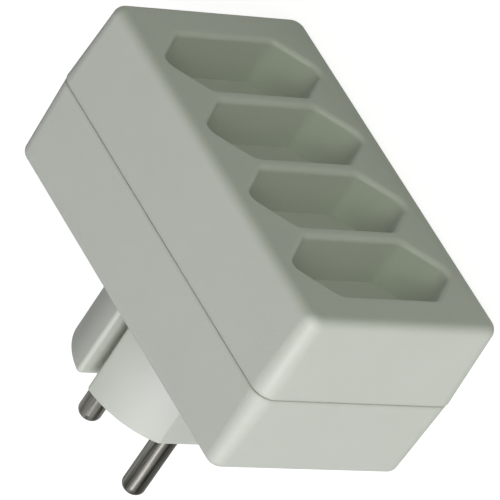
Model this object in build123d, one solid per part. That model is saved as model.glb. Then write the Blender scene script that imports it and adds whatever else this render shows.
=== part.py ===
"""Plug-in socket adapter: one round two-pin plug behind a two-shell box with four flat plug wells.

Millimetres. X runs along the row of wells, Y runs from the front face to the wall (the plug points +Y)
and Z is up, as the adapter sits in a wall socket. The origin is where the plug's axis crosses the
box's rear face.
"""
import os

from build123d import *

# Wells for flat plugs; the web is the strip of face between two wells
WELL_COUNT = 4
WELL_WEB = 2.8
WELL_SPAN = 38.5
WELL_HEIGHT = 14.6
WELL_FLAT = 23.2
WELL_CORNER_R = 2.4
WELL_DEPTH = 10.4
WELL_DRAFT = 0.6
WELL_RIM_R = 1.1
WELL_WALL = 1.6
WELL_FLOOR = 2.0
CONTACT_SPACING = 19.0
CONTACT_HOLE_D = 5.0
CONTACT_LEAD_IN = 0.5
LEAD_IN_ANGLE = 45.0

# Box around the wells, with its margins at the parting line, where both shells are widest
END_MARGIN = 8.35
SIDE_MARGIN = 4.25
FRONT_DEPTH = 19.0
REAR_DEPTH = 19.0
BODY_CORNER_R = 3.6
SIDE_DRAFT = 2.4
FRONT_EDGE_R = 2.0
REAR_EDGE_R = 2.0
WALL = 2.0

# Parting line: the rear rim is set in under the front rim, with a lip that locates it
PARTING_STEP = 0.15
PARTING_GAP = 0.2
PARTING_EDGE_R = 0.35
LIP_HEIGHT = 1.6
LIP_THICKNESS = 0.9
LIP_CLEARANCE = 0.12

# Plug body: a drafted round with end flats and a slot each side for the socket's earth clips
PLUG_BASE_D = 36.2
PLUG_DEPTH = 19.0
PLUG_DRAFT = 0.4
PLUG_FLAT_CLEARANCE = 0.9
PLUG_SLOT_WIDTH = 3.3
PLUG_SLOT_DEPTH = 5.8
PLUG_WALL = 2.0
PLUG_END = 3.0
PLUG_FACE_R = 0.6
PLUG_CORNER_R = 0.8

# Plug pins
PIN_D = 4.8
PIN_LENGTH = 18.5
PIN_SPACING = 19.0
PIN_TIP_R = 1.7
PIN_ROOT_D = 5.6
PIN_COLLAR_D = 7.2
PIN_COLLAR = 2.0
PIN_TAIL_D = 3.0
PIN_RIVET_D = 4.4
PIN_RIVET = 0.8
PIN_FIT = 0.03

# Brass bars, one for each row of contacts, with a bent leg down to its plug pin
BAR_WIDTH = 7.0
BAR_THICKNESS = 0.8
BAR_OVERHANG = 5.2
BAR_RISE = 1.8
LEG_WIDTH = 6.0
LEG_OFFSET = 3.4
LEG_TOE = 3.0
BEND_R = 1.2

# Spring clips riveted on the bars
CLIP_THICKNESS = 0.5
CLIP_WIDTH = 5.0
CLIP_BASE = 6.2
CLIP_HEIGHT = 15.4
CLIP_NIP = 3.4
CLIP_NIP_AT = 10.6
CLIP_MOUTH = 5.6
CLIP_BEND_R = 0.9
RIVET_D = 2.0
RIVET_HEAD_D = 3.4
RIVET_HEAD = 0.6

# Ribs that carry the bars and hold them down
RIB = 1.6
CRADLE_CLEARANCE = 0.15
CRADLE_CHEEK = 1.2
CRADLE_LIP = 0.8
CRADLE_END = 1.2

# Screws from the rear, on the centre line beyond the plug
SCREW_END = 7.7
SCREW_D = 2.9
SCREW_LENGTH = 13.0
SCREW_HEAD_D = 5.6
SCREW_HEAD = 2.2
SCREW_HEAD_R = 0.8
SCREW_SLOT_WIDTH = 0.9
SCREW_SLOT_DEPTH = 1.0
SCREW_FIT = 0.05
SCREW_PASS_D = 3.3
SCREW_HEAD_CLEARANCE = 0.3
SCREW_SINK = 0.6
SCREW_SEAT = 2.8
BOSS_D = 6.6
SLEEVE_WALL = 1.4

# Levels along Y that the pieces share
PARTING_Y = -REAR_DEPTH
FACE_Y = PARTING_Y - FRONT_DEPTH
WELL_FLOOR_Y = FACE_Y + WELL_DEPTH
FLOOR_BACK_Y = WELL_FLOOR_Y + WELL_FLOOR
REAR_INSIDE_Y = -WALL
BAR_REAR_Y = REAR_INSIDE_Y - BAR_RISE
BAR_FRONT_Y = BAR_REAR_Y - BAR_THICKNESS
PLUG_FACE_Y = PLUG_DEPTH
PLUG_END_Y = PLUG_FACE_Y - PLUG_END
COLLAR_BACK_Y = PLUG_END_Y - PIN_COLLAR
FOOT_FRONT_Y = COLLAR_BACK_Y - BAR_THICKNESS
SCREW_SEAT_Y = -(SCREW_SINK + SCREW_HEAD)
BOSS_END_Y = SCREW_SEAT_Y - SCREW_SEAT

# Places along X and Z
WELL_PITCH = WELL_HEIGHT + WELL_WEB
BODY_LENGTH = (WELL_COUNT - 1) * WELL_PITCH + WELL_HEIGHT + 2 * END_MARGIN
BODY_WIDTH = WELL_SPAN + 2 * SIDE_MARGIN
WELL_X = [(i - (WELL_COUNT - 1) / 2) * WELL_PITCH for i in range(WELL_COUNT)]
WEB_X = [(low + high) / 2 for low, high in zip(WELL_X, WELL_X[1:])]
BAR_Z = CONTACT_SPACING / 2
BAR_END_X = WELL_X[-1] + BAR_OVERHANG
PIN_X = PIN_SPACING / 2
PLUG_FLAT_X = PIN_X + PIN_COLLAR_D / 2 + PLUG_FLAT_CLEARANCE + PLUG_WALL
SCREW_X = BODY_LENGTH / 2 - SCREW_END


def facing_front(y):
    """Sketch plane at depth y with X and Z as its axes; it extrudes towards the front face."""
    return Plane(origin=(0, y, 0), x_dir=(1, 0, 0), z_dir=(0, -1, 0))


def facing_wall(y):
    """Sketch plane at depth y that extrudes towards the wall; its first axis is -X."""
    return Plane(origin=(0, y, 0), x_dir=(-1, 0, 0), z_dir=(0, 1, 0))


def post(x, z, diameter, y_from, y_to):
    """Round post along Y between two depths."""
    return extrude(facing_wall(y_from) * Pos(-x, z) * Circle(diameter / 2), y_to - y_from)


def block(x, z, size_x, size_z, y_from, y_to):
    """Rectangular rib along Y between two depths, centred on x and z."""
    return extrude(facing_wall(y_from) * Pos(-x, z) * Rectangle(size_x, size_z), y_to - y_from)


def body_section(inset):
    """Box outline at the parting line, set in from the outside by a distance."""
    return RectangleRounded(
        BODY_LENGTH - 2 * inset, BODY_WIDTH - 2 * inset, BODY_CORNER_R - inset
    )


def well_section():
    """Long hexagon of a flat plug, with rounded corners, pointing along Z."""
    half_height = WELL_HEIGHT / 2
    half_flat = WELL_FLAT / 2
    tip = WELL_SPAN / 2
    outline = Polygon(
        (half_height, half_flat),
        (0, tip),
        (-half_height, half_flat),
        (-half_height, -half_flat),
        (0, -tip),
        (half_height, -half_flat),
        align=None,
    )
    return fillet(outline.vertices(), WELL_CORNER_R)


def front_housing():
    """Front shell: drafted box with four wells, contact holes, screw bosses and hold-down ribs."""
    shell = extrude(facing_front(PARTING_Y) * body_section(0), FRONT_DEPTH, taper=SIDE_DRAFT)
    shell = fillet(shell.faces().sort_by(Axis.Y)[0].edges(), FRONT_EDGE_R)
    shell = fillet(shell.faces().sort_by(Axis.Y)[-1].edges(), PARTING_EDGE_R)
    shell -= extrude(facing_front(PARTING_Y) * body_section(WALL), FRONT_DEPTH - WALL, taper=SIDE_DRAFT)
    rebate = WALL - LIP_THICKNESS - LIP_CLEARANCE
    shell -= extrude(facing_front(PARTING_Y) * body_section(rebate), LIP_HEIGHT)

    well = well_section()
    for x in WELL_X:
        shell += Pos(X=x) * extrude(facing_front(FLOOR_BACK_Y) * offset(well, WELL_WALL),
                                    WELL_DEPTH + WELL_FLOOR - WALL / 2)
    for x in WELL_X:
        shell -= Pos(X=x) * extrude(facing_wall(FACE_Y) * well, WELL_DEPTH, taper=WELL_DRAFT)
    face = shell.faces().sort_by(Axis.Y)[0]
    rims = [edge for wire in face.inner_wires() for edge in wire.edges()]
    shell = fillet(rims, WELL_RIM_R)

    for x in WEB_X:
        for z in (-BAR_Z, BAR_Z):
            shell += block(x, z, RIB, BAR_WIDTH, FLOOR_BACK_Y - WELL_FLOOR / 2, BAR_FRONT_Y)
    for x in (-SCREW_X, SCREW_X):
        shell += post(x, 0, BOSS_D, FLOOR_BACK_Y - WELL_FLOOR / 2, BOSS_END_Y)
    for x in (-SCREW_X, SCREW_X):
        pilot_depth = SCREW_LENGTH - SCREW_SEAT + SCREW_D
        shell -= post(x, 0, SCREW_D + 2 * SCREW_FIT, BOSS_END_Y - pilot_depth, BOSS_END_Y)
    for x in WELL_X:
        for z in (-BAR_Z, BAR_Z):
            shell -= post(x, z, CONTACT_HOLE_D, WELL_FLOOR_Y, FLOOR_BACK_Y)
            mouth = Pos(-x, z) * Circle(CONTACT_HOLE_D / 2 + CONTACT_LEAD_IN)
            shell -= extrude(facing_wall(WELL_FLOOR_Y) * mouth, CONTACT_LEAD_IN, taper=LEAD_IN_ANGLE)
    return shell


def plug_form(inset, y_from, y_to):
    """Drafted round between two depths, with end flats and an earth clip slot each side, set in by a distance."""
    base = facing_wall(y_from)
    depth = y_to - y_from
    # The quarter turn puts the round's seam in a slot, so that only true corners are left along Y
    form = extrude(base * Rot(Z=90) * Circle(PLUG_BASE_D / 2 - inset), depth, taper=PLUG_DRAFT)
    flats = Rectangle(2 * (PLUG_FLAT_X - inset), 2 * PLUG_BASE_D)
    form &= extrude(base * flats, depth, taper=PLUG_DRAFT)
    slot_floor = PLUG_BASE_D / 2 - PLUG_SLOT_DEPTH - inset
    for side in (-1, 1):
        slot = Pos(0, side * (slot_floor + PLUG_BASE_D / 2)) * Rectangle(PLUG_SLOT_WIDTH + 2 * inset, PLUG_BASE_D)
        form -= extrude(base * slot, depth, taper=-PLUG_DRAFT)
    return form


def plug_shell():
    """Outside of the plug on the rear face, with its corners and its end face rounded."""
    plug = plug_form(0, 0, PLUG_FACE_Y)
    corners = [edge for edge in plug.edges() if abs((edge @ 1).Y - (edge @ 0).Y) > PLUG_DEPTH / 2]
    plug = fillet(corners, PLUG_CORNER_R)
    return fillet(plug.faces().sort_by(Axis.Y)[-1].edges(), PLUG_FACE_R)


def rear_housing():
    """Rear shell moulded in one with the hollow plug: lip, bar cradles, screw sleeves and pin holes."""
    rim_y = PARTING_Y + PARTING_GAP
    rim_depth = REAR_DEPTH - PARTING_GAP
    shell = extrude(facing_wall(rim_y) * body_section(PARTING_STEP), rim_depth, taper=SIDE_DRAFT)
    shell = fillet(shell.faces().sort_by(Axis.Y)[-1].edges(), REAR_EDGE_R)
    shell = fillet(shell.faces().sort_by(Axis.Y)[0].edges(), PARTING_EDGE_R)
    shell += plug_shell()
    shell -= extrude(facing_wall(rim_y) * body_section(PARTING_STEP + WALL), rim_depth - WALL, taper=SIDE_DRAFT)
    lip = body_section(WALL - LIP_THICKNESS) - body_section(WALL)
    shell += extrude(facing_front(rim_y + LIP_HEIGHT) * lip, 2 * LIP_HEIGHT + PARTING_GAP)
    shell -= plug_form(PLUG_WALL, REAR_INSIDE_Y, PLUG_END_Y)

    cradle_x = (WEB_X[-1], BAR_END_X - CRADLE_END)
    slot = BAR_WIDTH + 2 * CRADLE_CLEARANCE
    for x in cradle_x:
        for side_x in (-1, 1):
            for side_z in (-1, 1):
                place = (side_x * x, side_z * BAR_Z)
                shell += block(*place, RIB, slot + 2 * CRADLE_CHEEK, BAR_FRONT_Y - CRADLE_LIP, -WALL / 2)
                shell -= block(*place, 2 * RIB, slot, BAR_FRONT_Y - 2 * CRADLE_LIP, BAR_REAR_Y)
    head_hole = SCREW_HEAD_D + 2 * SCREW_HEAD_CLEARANCE
    for x in (-SCREW_X, SCREW_X):
        shell += post(x, 0, head_hole + 2 * SLEEVE_WALL, BOSS_END_Y, -WALL / 2)
    for x in (-SCREW_X, SCREW_X):
        shell -= post(x, 0, SCREW_PASS_D, BOSS_END_Y, SCREW_SEAT_Y)
        shell -= post(x, 0, head_hole, SCREW_SEAT_Y, 0)
    for x in (-PIN_X, PIN_X):
        shell -= post(x, 0, PIN_ROOT_D + 2 * PIN_FIT, PLUG_END_Y, PLUG_FACE_Y)
    return shell


def plug_pin():
    """Turned pin on the Y axis: riveted tail, collar, root through the end wall and rounded tip."""
    tail_y = FOOT_FRONT_Y - PIN_RIVET
    pin = post(0, 0, PIN_D, PLUG_FACE_Y, PLUG_FACE_Y + PIN_LENGTH)
    pin = fillet(pin.faces().sort_by(Axis.Y)[-1].edges(), PIN_TIP_R)
    pin += post(0, 0, PIN_ROOT_D, PLUG_END_Y, PLUG_FACE_Y)
    pin += post(0, 0, PIN_COLLAR_D, COLLAR_BACK_Y, PLUG_END_Y)
    pin += post(0, 0, PIN_TAIL_D, FOOT_FRONT_Y, COLLAR_BACK_Y)
    pin += post(0, 0, PIN_RIVET_D, tail_y, FOOT_FRONT_Y)
    return pin


def live_bar():
    """Stamped bar over one row of contacts, with a leg bent down to a foot under the pin's rivet."""
    middle = BAR_FRONT_Y + BAR_THICKNESS / 2
    leg_z = LEG_OFFSET + BAR_THICKNESS / 2
    foot_y = FOOT_FRONT_Y + BAR_THICKNESS / 2
    path = FilletPolyline(
        (BAR_Z, -middle), (leg_z, -middle), (leg_z, -foot_y), (-LEG_TOE, -foot_y), radius=BEND_R
    )
    side = Plane(origin=(PIN_X - LEG_WIDTH / 2, 0, 0), x_dir=(0, 0, 1), z_dir=(1, 0, 0))
    bar = extrude(side * trace(path, BAR_THICKNESS), LEG_WIDTH)
    bar += block(0, BAR_Z, 2 * BAR_END_X, BAR_WIDTH, BAR_FRONT_Y, BAR_REAR_Y)
    for x in WELL_X:
        bar -= post(x, BAR_Z, RIVET_D, BAR_FRONT_Y, BAR_REAR_Y)
    bar -= post(PIN_X, 0, PIN_TAIL_D, FOOT_FRONT_Y, COLLAR_BACK_Y)
    return bar


def contact_clip():
    """Folded spring clip at the origin of a rivet: base on the bar, two leaves that nip and flare."""
    half = CLIP_THICKNESS / 2
    side_x = CLIP_BASE / 2 - half
    nip_x = CLIP_NIP / 2 + half
    leaf = [(side_x, half), (nip_x, CLIP_NIP_AT), (CLIP_MOUTH / 2 - half, CLIP_HEIGHT)]
    mirrored = [(-x, rise) for x, rise in reversed(leaf)]
    path = FilletPolyline(*leaf[::-1], *mirrored[::-1], radius=CLIP_BEND_R)
    profile = Plane(origin=(0, BAR_FRONT_Y, -CLIP_WIDTH / 2), x_dir=(1, 0, 0), z_dir=(0, 0, 1))
    clip = extrude(profile * Rot(Z=180) * trace(path, CLIP_THICKNESS), CLIP_WIDTH)
    return clip - post(0, 0, RIVET_D, BAR_FRONT_Y - CLIP_THICKNESS, BAR_FRONT_Y)


def clip_rivet():
    """Rivet through a clip's base and the bar, with a flat head at each end."""
    clip_front = BAR_FRONT_Y - CLIP_THICKNESS
    rivet = post(0, 0, RIVET_D, clip_front, BAR_REAR_Y)
    rivet += post(0, 0, RIVET_HEAD_D, clip_front - RIVET_HEAD, clip_front)
    rivet += post(0, 0, RIVET_HEAD_D, BAR_REAR_Y, BAR_REAR_Y + RIVET_HEAD)
    return rivet


def housing_screw():
    """Slotted pan head screw, driven towards the front from the rear face."""
    head = post(0, 0, SCREW_HEAD_D, SCREW_SEAT_Y, SCREW_SEAT_Y + SCREW_HEAD)
    head = fillet(head.faces().sort_by(Axis.Y)[-1].edges(), SCREW_HEAD_R)
    top = SCREW_SEAT_Y + SCREW_HEAD
    head -= block(0, 0, SCREW_SLOT_WIDTH, SCREW_HEAD_D, top - SCREW_SLOT_DEPTH, top)
    shank = post(0, 0, SCREW_D, SCREW_SEAT_Y - SCREW_LENGTH, SCREW_SEAT_Y)
    shank = chamfer(shank.faces().sort_by(Axis.Y)[0].edges(), SCREW_D / 4)
    return head + shank


def save(name, shape):
    export_step(shape, f"parts/{name}.step")


os.makedirs("parts", exist_ok=True)

save("front_housing", front_housing())
save("rear_housing", rear_housing())

bar = live_bar()
save("live_bar", bar)
save("neutral_bar", Rot(Y=180) * bar)

pin = plug_pin()
save("live_pin", Pos(X=PIN_X) * pin)
save("neutral_pin", Pos(X=-PIN_X) * pin)

clip = contact_clip()
rivet = clip_rivet()
rivets = []
for row, z in (("live", BAR_Z), ("neutral", -BAR_Z)):
    for number, x in enumerate(WELL_X, start=1):
        save(f"{row}_clip_{number}", Pos(x, 0, z) * clip)
        rivets.append(Pos(x, 0, z) * rivet)
save("clip_rivets", Compound(children=rivets))

screw = housing_screw()
save("housing_screws", Compound(children=[Pos(X=x) * screw for x in (-SCREW_X, SCREW_X)]))
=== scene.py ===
"""Looks of a plug-in socket adapter: a pale grey box with four flat plug wells and a round two-pin plug.

Metres, in the CAD frame: X along the row of wells, Y from the front face to the wall, Z up.
"""
import math

import bmesh
import bpy
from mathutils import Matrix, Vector


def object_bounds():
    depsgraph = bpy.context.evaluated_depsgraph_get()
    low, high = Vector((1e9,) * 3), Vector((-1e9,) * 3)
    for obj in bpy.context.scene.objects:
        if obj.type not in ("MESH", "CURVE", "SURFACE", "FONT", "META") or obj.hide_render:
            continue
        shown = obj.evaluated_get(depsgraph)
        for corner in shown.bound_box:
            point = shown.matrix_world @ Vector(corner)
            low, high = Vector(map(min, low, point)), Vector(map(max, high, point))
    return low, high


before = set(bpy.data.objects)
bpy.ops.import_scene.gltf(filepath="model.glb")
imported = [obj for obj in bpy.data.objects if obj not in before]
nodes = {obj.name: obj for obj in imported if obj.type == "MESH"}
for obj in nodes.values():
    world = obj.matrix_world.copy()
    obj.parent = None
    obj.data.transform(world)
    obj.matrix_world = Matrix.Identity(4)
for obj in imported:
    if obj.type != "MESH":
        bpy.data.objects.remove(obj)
cad_low, cad_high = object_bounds()


# Housing: two shells moulded in pale grey ABS, which meet half way along the sides and are screwed
# together from the rear. The tool's fine spark-eroded skin leaves the faces satin, and the pigment flows
# a little unevenly. Along the parting line between the shells the colour is darkened, partly for dust
# that settles there and partly as painted shade of the groove.
ABS_GREY = "d2d6ce"
ABS_GREY_FLOW = "cbd0c6"
SEAM_DUST_AND_SHADE = "7d7c70"
PIGMENT_FLOW = 0.022
HANDLING_PATCH = 0.009
MOULD_GRAIN = 0.00045
GRAIN_HEIGHT = 0.00006
SCATTER_DEPTH = 0.0015
PARTING_Y = -0.0189
SEAM_SHADE_REACH = 0.0011
SEAM_SHADE_SHARE = 0.14


def linear(hex_text):
    """Turns an sRGB hex value to a linear colour with full alpha."""
    parts = [int(hex_text[i:i + 2], 16) / 255 for i in (0, 2, 4)]
    return [p / 12.92 if p <= 0.04045 else ((p + 0.055) / 1.055) ** 2.4 for p in parts] + [1.0]


def add_node(tree, kind, inputs, **settings):
    """Adds a node with its settings; each input takes a plain value or a link from an output socket."""
    node = tree.nodes.new(kind)
    for name, value in settings.items():
        setattr(node, name, value)
    for key, value in inputs.items():
        if isinstance(value, bpy.types.NodeSocket):
            tree.links.new(value, node.inputs[key])
        else:
            node.inputs[key].default_value = value
    return node


def bare_material(name):
    """Starts a material with an empty node tree."""
    material = bpy.data.materials.new(name)
    material.use_nodes = True
    material.node_tree.nodes.clear()
    return material


def make_of(piece, material):
    """Makes a piece of one material."""
    piece.data.materials.clear()
    piece.data.materials.append(material)


# Moulded ABS: the colour drifts slightly with the flow of the melt, handling has polished it in
# patches, and a little light scatters under the skin, which softens the edges. The real grain is
# under a tenth of a millimetre, so it is drawn coarser here to show at all.
abs_plastic = bare_material("moulded_abs_pale_grey")
tree = abs_plastic.node_tree
place = add_node(tree, "ShaderNodeTexCoord", {}).outputs["Object"]
flow = add_node(tree, "ShaderNodeTexNoise", {
    "Vector": place, "Scale": 1 / PIGMENT_FLOW, "Detail": 3.0, "Roughness": 0.5})
pigment = add_node(tree, "ShaderNodeMix", {
    "Factor": flow.outputs["Fac"], "A": linear(ABS_GREY), "B": linear(ABS_GREY_FLOW)}, data_type="RGBA")
along = add_node(tree, "ShaderNodeSeparateXYZ", {"Vector": place})
from_parting = add_node(tree, "ShaderNodeMath", {
    0: along.outputs["Y"], 1: PARTING_Y}, operation="SUBTRACT")
parting_gap = add_node(tree, "ShaderNodeMath", {
    0: from_parting.outputs["Value"]}, operation="ABSOLUTE")
# Dust and painted shade: a dark band along the parting line, darkest at its middle.
seam_dust_and_shade = add_node(tree, "ShaderNodeMapRange", {
    "Value": parting_gap.outputs["Value"], "From Min": 0.0, "From Max": SEAM_SHADE_REACH,
    "To Min": SEAM_SHADE_SHARE, "To Max": 0.0}, interpolation_type="SMOOTHSTEP")
dust_and_shade_colour = add_node(tree, "ShaderNodeMix", {
    "Factor": seam_dust_and_shade.outputs["Result"], "A": pigment.outputs["Result"], "B": linear(SEAM_DUST_AND_SHADE)},
    data_type="RGBA")
handling = add_node(tree, "ShaderNodeTexNoise", {
    "Vector": place, "Scale": 1 / HANDLING_PATCH, "Detail": 2.0})
sheen_change = add_node(tree, "ShaderNodeMapRange", {
    "Value": handling.outputs["Fac"], "From Min": 0.3, "From Max": 0.7, "To Min": 0.42, "To Max": 0.5})
grain = add_node(tree, "ShaderNodeTexNoise", {
    "Vector": place, "Scale": 1 / MOULD_GRAIN, "Detail": 2.0, "Roughness": 0.6})
skin = add_node(tree, "ShaderNodeBump", {
    "Strength": 0.55, "Distance": GRAIN_HEIGHT, "Height": grain.outputs["Fac"]})
plastic = add_node(tree, "ShaderNodeBsdfPrincipled", {
    "Base Color": dust_and_shade_colour.outputs["Result"], "Roughness": sheen_change.outputs["Result"], "IOR": 1.5,
    "Subsurface Weight": 0.3, "Subsurface Radius": (1.0, 0.95, 0.88), "Subsurface Scale": SCATTER_DEPTH,
    "Normal": skin.outputs["Normal"]})
add_node(tree, "ShaderNodeOutputMaterial", {"Surface": plastic.outputs["BSDF"]})

for name in ("front_housing", "rear_housing"):
    make_of(nodes[name], abs_plastic)


# Plug pins: turned brass with a thin nickel plate, held by their collars inside the plug's end wall.
# Socket contacts have dulled the plate and left long scuffs along each pin. Both plate colours are
# painted far darker than nickel, as painted reflection of dark surroundings, and the streaks along
# each pin are partly scuffs and partly painted dark and light reflection streaks.
# Painted reflection: both nickel colours are much darker than bright nickel plate.
NICKEL_DULL_PAINTED_DARK = "24241f"
NICKEL_RUBBED_PAINTED_DARK = "7e7d77"
SCUFF_WIDTH = 0.0012
SCUFF_LENGTH = 0.03
SCUFF_DEPTH = 0.00004

nickel = bare_material("scuffed_nickel_painted_reflection")
tree = nickel.node_tree
place = add_node(tree, "ShaderNodeTexCoord", {}).outputs["Object"]
stretched = add_node(tree, "ShaderNodeMapping", {
    "Vector": place, "Scale": (1 / SCUFF_WIDTH, 1 / SCUFF_LENGTH, 1 / SCUFF_WIDTH)})
scuffs = add_node(tree, "ShaderNodeTexNoise", {
    "Vector": stretched.outputs["Vector"], "Scale": 1.0, "Detail": 4.0, "Roughness": 0.6})
# Painted reflection with scuffs: strong dark and light streaks along the pin.
scuffs_and_painted_streaks = add_node(tree, "ShaderNodeMapRange", {
    "Value": scuffs.outputs["Fac"], "From Min": 0.36, "From Max": 0.64})
plate = add_node(tree, "ShaderNodeMix", {
    "Factor": scuffs_and_painted_streaks.outputs["Result"], "A": linear(NICKEL_DULL_PAINTED_DARK), "B": linear(NICKEL_RUBBED_PAINTED_DARK)},
    data_type="RGBA")
dulled = add_node(tree, "ShaderNodeMapRange", {
    "Value": scuffs.outputs["Fac"], "From Min": 0.3, "From Max": 0.7, "To Min": 0.14, "To Max": 0.28})
scratch = add_node(tree, "ShaderNodeBump", {
    "Strength": 0.15, "Distance": SCUFF_DEPTH, "Height": scuffs.outputs["Fac"]})
metal = add_node(tree, "ShaderNodeBsdfPrincipled", {
    "Base Color": plate.outputs["Result"], "Metallic": 1.0, "Roughness": dulled.outputs["Result"],
    "Normal": scratch.outputs["Normal"]})
add_node(tree, "ShaderNodeOutputMaterial", {"Surface": metal.outputs["BSDF"]})

for name in ("live_pin", "neutral_pin"):
    make_of(nodes[name], nickel)


# Bars and rivets: brass strip stamped and bent, one bar behind each row of contact holes, with the
# clips riveted on. Rolling leaves fine lines along the strip and the air has browned it in patches.
BRASS_CLEAN = "d9b878"
BRASS_BROWNED = "a17f45"
ROLL_LINE = 0.0006
ROLL_LENGTH = 0.04
ROLL_DEPTH = 0.00003
TARNISH_PATCH = 0.004

brass = bare_material("rolled_brass_strip")
tree = brass.node_tree
place = add_node(tree, "ShaderNodeTexCoord", {}).outputs["Object"]
rolled = add_node(tree, "ShaderNodeMapping", {
    "Vector": place, "Scale": (1 / ROLL_LENGTH, 1 / ROLL_LINE, 1 / ROLL_LINE)})
roll_lines = add_node(tree, "ShaderNodeTexNoise", {
    "Vector": rolled.outputs["Vector"], "Scale": 1.0, "Detail": 3.0})
tarnish = add_node(tree, "ShaderNodeTexNoise", {
    "Vector": place, "Scale": 1 / TARNISH_PATCH, "Detail": 3.0})
browned = add_node(tree, "ShaderNodeMix", {
    "Factor": tarnish.outputs["Fac"], "A": linear(BRASS_CLEAN), "B": linear(BRASS_BROWNED)},
    data_type="RGBA")
brushed = add_node(tree, "ShaderNodeMapRange", {
    "Value": roll_lines.outputs["Fac"], "From Min": 0.3, "From Max": 0.7, "To Min": 0.25, "To Max": 0.4})
roll_marks = add_node(tree, "ShaderNodeBump", {
    "Strength": 0.1, "Distance": ROLL_DEPTH, "Height": roll_lines.outputs["Fac"]})
metal = add_node(tree, "ShaderNodeBsdfPrincipled", {
    "Base Color": browned.outputs["Result"], "Metallic": 1.0, "Roughness": brushed.outputs["Result"],
    "Normal": roll_marks.outputs["Normal"]})
add_node(tree, "ShaderNodeOutputMaterial", {"Surface": metal.outputs["BSDF"]})

for name, slot in (("live_bar", "bar"), ("neutral_bar", "bar"), ("clip_rivets", "rivet")):
    make_of(nodes[name], brass)


# Clips: phosphor bronze spring strip, folded to two leaves that nip a plug's pin behind each
# contact hole. The strip is redder than the brass and bright where pins have rubbed it.
BRONZE = "9c6a44"
BRONZE_RUBBED = "d9a877"
RUB_LENGTH = 0.006

bronze = bare_material("phosphor_bronze_spring")
tree = bronze.node_tree
place = add_node(tree, "ShaderNodeTexCoord", {}).outputs["Object"]
drawn = add_node(tree, "ShaderNodeMapping", {
    "Vector": place, "Scale": (1 / ROLL_LINE, 1 / RUB_LENGTH, 1 / ROLL_LINE)})
rubs = add_node(tree, "ShaderNodeTexNoise", {
    "Vector": drawn.outputs["Vector"], "Scale": 1.0, "Detail": 3.0})
rubbed = add_node(tree, "ShaderNodeMix", {
    "Factor": rubs.outputs["Fac"], "A": linear(BRONZE), "B": linear(BRONZE_RUBBED)}, data_type="RGBA")
polished = add_node(tree, "ShaderNodeMapRange", {
    "Value": rubs.outputs["Fac"], "From Min": 0.3, "From Max": 0.7, "To Min": 0.38, "To Max": 0.22})
metal = add_node(tree, "ShaderNodeBsdfPrincipled", {
    "Base Color": rubbed.outputs["Result"], "Metallic": 1.0, "Roughness": polished.outputs["Result"]})
add_node(tree, "ShaderNodeOutputMaterial", {"Surface": metal.outputs["BSDF"]})

for row in ("live", "neutral"):
    for number in range(1, 5):
        clip = nodes[f"{row}_clip_{number}"]
        make_of(clip, bronze)


# Screws: two zinc plated steel screws, sunk in the rear face beside the plug, that hold the shells
# together. The zinc is a cool silver with a cloudy spangle.
ZINC = "bcc0c2"
ZINC_CLOUD = "9b9fa1"
SPANGLE = 0.0008

zinc = bare_material("bright_zinc_plate")
tree = zinc.node_tree
place = add_node(tree, "ShaderNodeTexCoord", {}).outputs["Object"]
spangle = add_node(tree, "ShaderNodeTexVoronoi", {"Vector": place, "Scale": 1 / SPANGLE})
cloudy = add_node(tree, "ShaderNodeMix", {
    "Factor": spangle.outputs["Distance"], "A": linear(ZINC), "B": linear(ZINC_CLOUD)}, data_type="RGBA")
satin = add_node(tree, "ShaderNodeMapRange", {
    "Value": spangle.outputs["Distance"], "From Min": 0.0, "From Max": 0.8,
    "To Min": 0.28, "To Max": 0.42})
metal = add_node(tree, "ShaderNodeBsdfPrincipled", {
    "Base Color": cloudy.outputs["Result"], "Metallic": 1.0, "Roughness": satin.outputs["Result"]})
add_node(tree, "ShaderNodeOutputMaterial", {"Surface": metal.outputs["BSDF"]})

make_of(nodes["housing_screws"], zinc)


# Floor: a plain sheet of matt paper just under the adapter's lower long side. It is lifted to white for
# the camera, and less so in reflections, and it still takes the adapter's shadow.
PAPER = "b8b8b4"
WHITE = "ffffff"
FLOOR_SIZE = 6.0
FLOOR_GAP = 0.0002
FLOOR_LIFT = 0.86
MIRROR_LIFT = 0.35

sheet_mesh = bmesh.new()
bmesh.ops.create_grid(sheet_mesh, x_segments=1, y_segments=1, size=FLOOR_SIZE / 2)
bmesh.ops.translate(sheet_mesh, verts=sheet_mesh.verts, vec=(0, 0, cad_low[2] - FLOOR_GAP))
floor_data = bpy.data.meshes.new("floor")
sheet_mesh.to_mesh(floor_data)
sheet_mesh.free()
floor = bpy.data.objects.new("floor", floor_data)
bpy.context.scene.collection.objects.link(floor)

paper = bare_material("white_paper_sheet")
tree = paper.node_tree
ray = add_node(tree, "ShaderNodeLightPath", {})
mirrored = add_node(tree, "ShaderNodeMath", {
    0: ray.outputs["Is Glossy Ray"], 1: ray.outputs["Is Transmission Ray"]}, operation="MAXIMUM")
faint = add_node(tree, "ShaderNodeMath", {
    0: mirrored.outputs["Value"], 1: MIRROR_LIFT}, operation="MULTIPLY")
lift = add_node(tree, "ShaderNodeMath", {
    0: ray.outputs["Is Camera Ray"], 1: FLOOR_LIFT, 2: faint.outputs["Value"]}, operation="MULTIPLY_ADD")
matt = add_node(tree, "ShaderNodeBsdfDiffuse", {"Color": linear(PAPER)})
glow = add_node(tree, "ShaderNodeEmission", {"Color": linear(WHITE), "Strength": lift.outputs["Value"]})
both = add_node(tree, "ShaderNodeAddShader", {0: matt.outputs["BSDF"], 1: glow.outputs["Emission"]})
add_node(tree, "ShaderNodeOutputMaterial", {"Surface": both.outputs["Shader"]})
make_of(floor, paper)


# Light: a dim even room with a faint ceiling panel. The key box stands off the -X end and behind the front
# plane, so the front face stays in shade. The small edge box further round puts the streak on the pins, and
# the broad greenish fill box behind the camera reaches into the wells.
ROOM_LEVEL = 0.15
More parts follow.
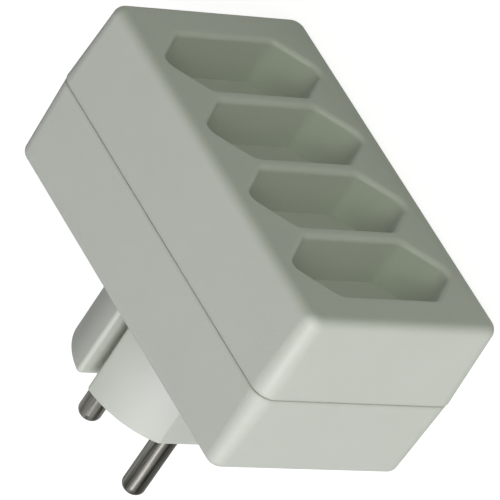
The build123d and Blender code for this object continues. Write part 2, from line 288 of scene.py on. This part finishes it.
# Each soft box has its name, place, side, watts and tint.
SOFT_BOXES = (
    ("key_box", Vector((-1.30, 0.30, 0.90)), 0.6, 14.5, (0.955, 0.915, 1.0)),
    ("edge_box", Vector((-1.05, 0.82, 0.83)), 0.42, 1.8, (1.0, 0.97, 1.0)),
    ("fill_box", Vector((-1.60, -1.45, 1.44)), 1.7, 19.2, (0.90, 1.0, 0.81)),
    ("ceiling_panel", Vector((-0.30, -0.55, 2.10)), 1.6, 1.4, (1.0, 0.99, 1.0)),
)

world = bpy.data.worlds.new("room")
bpy.context.scene.world = world
world.use_nodes = True
tree = world.node_tree
tree.nodes.clear()
ray = add_node(tree, "ShaderNodeLightPath", {})
mirrored = add_node(tree, "ShaderNodeMath", {
    0: ray.outputs["Is Glossy Ray"], 1: ray.outputs["Is Transmission Ray"]}, operation="MAXIMUM")
seen = add_node(tree, "ShaderNodeMath", {
    0: ray.outputs["Is Camera Ray"], 1: mirrored.outputs["Value"]}, operation="MAXIMUM")
room = add_node(tree, "ShaderNodeBackground", {"Color": linear(WHITE), "Strength": ROOM_LEVEL})
white = add_node(tree, "ShaderNodeBackground", {"Color": linear(WHITE), "Strength": 1.0})
either = add_node(tree, "ShaderNodeMixShader", {
    0: seen.outputs["Value"], 1: room.outputs["Background"], 2: white.outputs["Background"]})
add_node(tree, "ShaderNodeOutputWorld", {"Surface": either.outputs["Shader"]})

for name, stand, size, power, tint in SOFT_BOXES:
    lamp_data = bpy.data.lights.new(name, "AREA")
    lamp_data.shape = "SQUARE"
    lamp_data.size = size
    lamp_data.energy = power
    lamp_data.color = tint
    lamp = bpy.data.objects.new(name, lamp_data)
    lamp.location = stand
    lamp.rotation_euler = (-stand).to_track_quat("-Z", "Y").to_euler()
    bpy.context.scene.collection.objects.link(lamp)


# Camera: a long lens off the front corner of the -X end, turned so that the row of wells runs down
# the picture, as the adapter is shown in the photograph.
CAMERA_STAND = (-0.718486, -0.689193, 0.851991)
CAMERA_TURN = (3.743811, 49.008073, -131.916666)
LENS_MM = 514.02
SENSOR_MM = 36.0

camera_data = bpy.data.cameras.new("camera")
camera_data.sensor_width = SENSOR_MM
camera_data.lens = LENS_MM
camera_data.clip_start = 0.1
camera_data.clip_end = 20.0
camera = bpy.data.objects.new("camera", camera_data)
camera.location = CAMERA_STAND
camera.rotation_euler = [math.radians(angle) for angle in CAMERA_TURN]
bpy.context.scene.collection.objects.link(camera)
bpy.context.scene.camera = camera

bpy.context.scene.view_settings.view_transform = "Standard"
